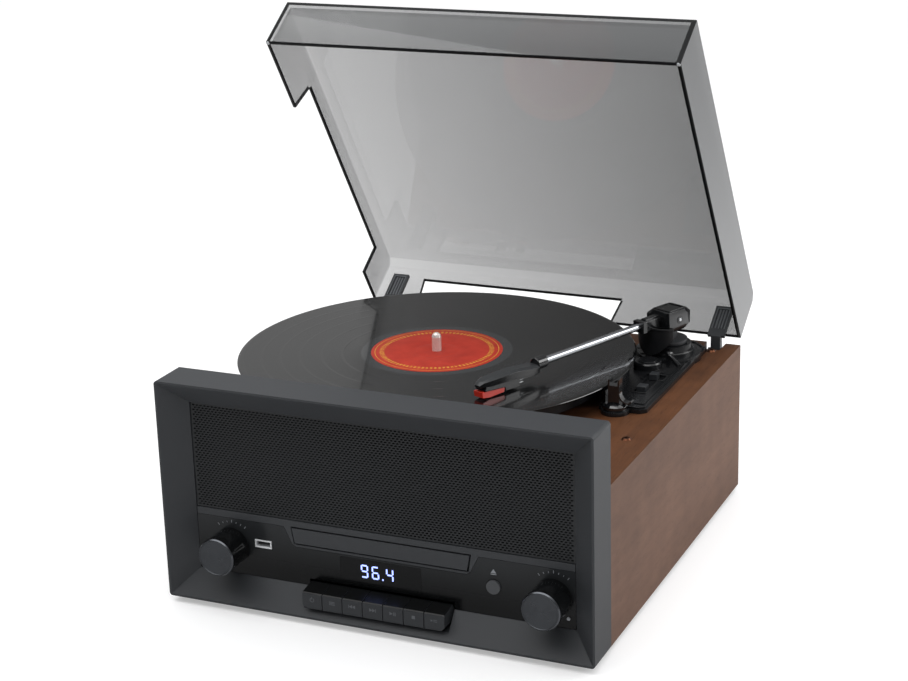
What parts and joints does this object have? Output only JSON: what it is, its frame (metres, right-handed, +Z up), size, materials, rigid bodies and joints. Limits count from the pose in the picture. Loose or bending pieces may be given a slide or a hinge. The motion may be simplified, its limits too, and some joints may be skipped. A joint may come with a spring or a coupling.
{
  "type": "stereo music centre",
  "caption": "Tabletop music centre: wooden cabinet, record player with arm and tinted hinged lid, disc tray, radio display, keys, knobs and speakers behind a grille.",
  "frame": {"origin": "centre of the flat underside of the wooden cabinet, 5 mm above the surface that the feet stand on", "axes": "+Z up, -Y towards the controls at the front, +X to the right seen from the front"},
  "size_m": [0.348, 0.3878, 0.399],
  "materials": {
    "bezel_plastic": "satin charcoal moulding",
    "panel_black": "black gloss",
    "surround_plastic": "satin charcoal",
    "grille_metal": "fine black mesh",
    "window_plastic": "dark display window",
    "digit_light": "lit segments",
    "walnut_side": "walnut veneer, satin",
    "walnut_top": "dark walnut veneer, gloss lacquer",
    "base_board": "dark board",
    "rear_board": "black",
    "foot_rubber": "black rubber",
    "screw_steel": "copper coloured",
    "port_steel": "plated",
    "light_cap": "grey lens",
    "control_metal": "plain",
    "circuit_board": "green board",
    "frame_metal": "black paint",
    "cone_paper": "paper cone",
    "chassis_metal": "grey",
    "transformer_metal": "laminated core",
    "socket_plastic": "black",
    "bearing_metal": "turned",
    "motor_metal": "plain",
    "base_plastic": "satin black",
    "rest_plastic": "black",
    "hinge_plastic": "dark grey",
    "pin_metal": "steel",
    "platter_plastic": "black",
    "mat_rubber": "matt black",
    "vinyl": "grooved black vinyl",
    "label_print": "red paper with an orange ring",
    "spindle_metal": "coppery metal",
    "belt_rubber": "black",
    "pulley_brass": "turned",
    "yoke_plastic": "dark grey",
    "housing_plastic": "black",
    "tube_metal": "polished",
    "head_plastic": "black and grey",
    "stylus_plastic": "translucent red",
    "cue_plastic": "black",
    "lever_plastic": "black, bright edge",
    "selector_plastic": "grey",
    "switch_plastic": "dark grey",
    "lid_acrylic": "smoked clear acrylic",
    "knob_plastic": "black with a turned metal cap",
    "eject_plastic": "dark grey",
    "tray_plastic": "dark grey",
    "hub_metal": "turned",
    "sled_plastic": "black",
    "key_plastic": "dark grey"
  },
  "bodies": {
    "cabinet": {"bezel": "bezel_plastic", "front_panel": "panel_black", "tray_surround": "surround_plastic", "speaker_grille": "grille_metal", "display_window": "window_plastic", "display_digits": "digit_light", "cabinet_left": "walnut_side", "cabinet_right": "walnut_side", "deck": "walnut_top", "base_panel": "base_board", "rear_panel": "rear_board", "feet": "foot_rubber", "case_screws": "screw_steel", "usb_port": "port_steel", "power_light": "light_cap", "control_bodies": "control_metal", "key_board": "circuit_board", "speaker_frames": "frame_metal", "speaker_cones": "cone_paper", "disc_chassis": "chassis_metal", "main_board": "circuit_board", "transformer": "transformer_metal", "rear_sockets": "socket_plastic", "spindle_bearing": "bearing_metal", "platter_motor": "motor_metal", "arm_base": "base_plastic", "arm_rest": "rest_plastic", "hinge_bases": "hinge_plastic", "hinge_pins": "pin_metal", "drive_belt": "belt_rubber"},
    "platter": {"platter": "platter_plastic", "platter_mat": "mat_rubber", "record": "vinyl", "record_label": "label_print", "spindle": "spindle_metal"},
    "pulley": {"motor_pulley": "pulley_brass"},
    "arm_yoke": {"arm_yoke": "yoke_plastic"},
    "tonearm": {"arm_housing": "housing_plastic", "arm_tube": "tube_metal", "headshell": "head_plastic", "stylus": "stylus_plastic"},
    "cue_platform": {"cue_platform": "cue_plastic"},
    "cue_lever": {"cue_lever": "lever_plastic"},
    "speed_selector": {"speed_selector": "selector_plastic"},
    "auto_stop_switch": {"auto_stop_switch": "switch_plastic"},
    "lid": {"lid": "lid_acrylic", "lid_brackets": "hinge_plastic"},
    "tuning_knob": {"tuning_knob": "knob_plastic"},
    "volume_knob": {"volume_knob": "knob_plastic"},
    "eject_button": {"eject_button": "eject_plastic"},
    "key_1": {"key_1": "key_plastic"},
    "key_2": {"key_2": "key_plastic"},
    "key_3": {"key_3": "key_plastic"},
    "key_4": {"key_4": "key_plastic"},
    "key_5": {"key_5": "key_plastic"},
    "key_6": {"key_6": "key_plastic"},
    "key_7": {"key_7": "key_plastic"},
    "disc_tray": {"disc_tray": "tray_plastic"},
    "disc_hub": {"disc_hub": "hub_metal"},
    "laser_sled": {"laser_sled": "sled_plastic"}
  },
  "joints": [
    {"name": "platter_spin", "type": "hinge", "parent": "cabinet", "child": "platter", "pos_m": [-0.034, 0.0245, 0.135], "axis": [0, 0, -1], "continuous": true},
    {"name": "pulley_spin", "type": "hinge", "parent": "cabinet", "child": "pulley", "pos_m": [-0.089, -0.0335, 0.124], "axis": [0, 0, -1], "continuous": true},
    {"name": "arm_swing", "type": "hinge", "parent": "cabinet", "child": "arm_yoke", "pos_m": [0.118, 0.1235, 0.15], "axis": [0, 0, -1], "range_deg": [-23.4, 17]},
    {"name": "arm_lift", "type": "hinge", "parent": "arm_yoke", "child": "tonearm", "pos_m": [0.118, 0.1235, 0.1515], "axis": [-0.9219, 0.3875, 0], "range_deg": [0, 4]},
    {"name": "cue_lever_turn", "type": "hinge", "parent": "cabinet", "child": "cue_lever", "pos_m": [0.1265, 0.097, 0.13], "axis": [-0.5, -0.866, 0], "range_deg": [0, 60]},
    {"name": "cue_platform_lift", "type": "slide", "parent": "cabinet", "child": "cue_platform", "axis": [0, 0, 1], "range_m": [0, 0.0015]},
    {"name": "speed_select", "type": "slide", "parent": "cabinet", "child": "speed_selector", "axis": [0, 1, 0], "range_m": [-0.003, 0.009]},
    {"name": "auto_stop", "type": "slide", "parent": "cabinet", "child": "auto_stop_switch", "axis": [1, 0, 0], "range_m": [-0.004, 0.004]},
    {"name": "lid_hinge", "type": "hinge", "parent": "cabinet", "child": "lid", "pos_m": [0, 0.1699, 0.109], "axis": [-1, 0, 0], "range_deg": [-57, 0]},
    {"name": "tuning_turn", "type": "hinge", "parent": "cabinet", "child": "tuning_knob", "pos_m": [-0.1165, -0.16, 0.0405], "axis": [0, 1, 0], "continuous": true},
    {"name": "volume_turn", "type": "hinge", "parent": "cabinet", "child": "volume_knob", "pos_m": [0.1285, -0.16, 0.0405], "axis": [0, 1, 0], "range_deg": [-150, 150]},
    {"name": "eject_press", "type": "slide", "parent": "cabinet", "child": "eject_button", "axis": [0, 1, 0], "range_m": [0, 0.0012], "stiffness_N_per_m": 300, "springref_m": -0.0005},
    {"name": "key_1_press", "type": "slide", "parent": "cabinet", "child": "key_1", "axis": [0, 0, -1], "range_m": [0, 0.0014], "stiffness_N_per_m": 400, "springref_m": -0.0005},
    {"name": "key_2_press", "type": "slide", "parent": "cabinet", "child": "key_2", "axis": [0, 0, -1], "range_m": [0, 0.0014], "stiffness_N_per_m": 400, "springref_m": -0.0005},
    {"name": "key_3_press", "type": "slide", "parent": "cabinet", "child": "key_3", "axis": [0, 0, -1], "range_m": [0, 0.0014], "stiffness_N_per_m": 400, "springref_m": -0.0005},
    {"name": "key_4_press", "type": "slide", "parent": "cabinet", "child": "key_4", "axis": [0, 0, -1], "range_m": [0, 0.0014], "stiffness_N_per_m": 400, "springref_m": -0.0005},
    {"name": "key_5_press", "type": "slide", "parent": "cabinet", "child": "key_5", "axis": [0, 0, -1], "range_m": [0, 0.0014], "stiffness_N_per_m": 400, "springref_m": -0.0005},
    {"name": "key_6_press", "type": "slide", "parent": "cabinet", "child": "key_6", "axis": [0, 0, -1], "range_m": [0, 0.0014], "stiffness_N_per_m": 400, "springref_m": -0.0005},
    {"name": "key_7_press", "type": "slide", "parent": "cabinet", "child": "key_7", "axis": [0, 0, -1], "range_m": [0, 0.0014], "stiffness_N_per_m": 400, "springref_m": -0.0005},
    {"name": "disc_tray_slide", "type": "slide", "parent": "cabinet", "child": "disc_tray", "axis": [0, -1, 0], "range_m": [0, 0.125]},
    {"name": "disc_spin", "type": "hinge", "parent": "cabinet", "child": "disc_hub", "pos_m": [0, -0.0845, 0.05], "axis": [0, 0, 1], "continuous": true},
    {"name": "sled_slide", "type": "slide", "parent": "cabinet", "child": "laser_sled", "axis": [0, 1, 0], "range_m": [0, 0.024]}
  ],
  "couplings": [
    {"joint": "pulley_spin", "follows": "platter_spin", "ratio": 10},
    {"joint": "cue_lever_turn", "follows": "arm_lift", "ratio": 15},
    {"joint": "cue_platform_lift", "follows": "arm_lift", "m_per_rad": 0.021486}
  ]
}
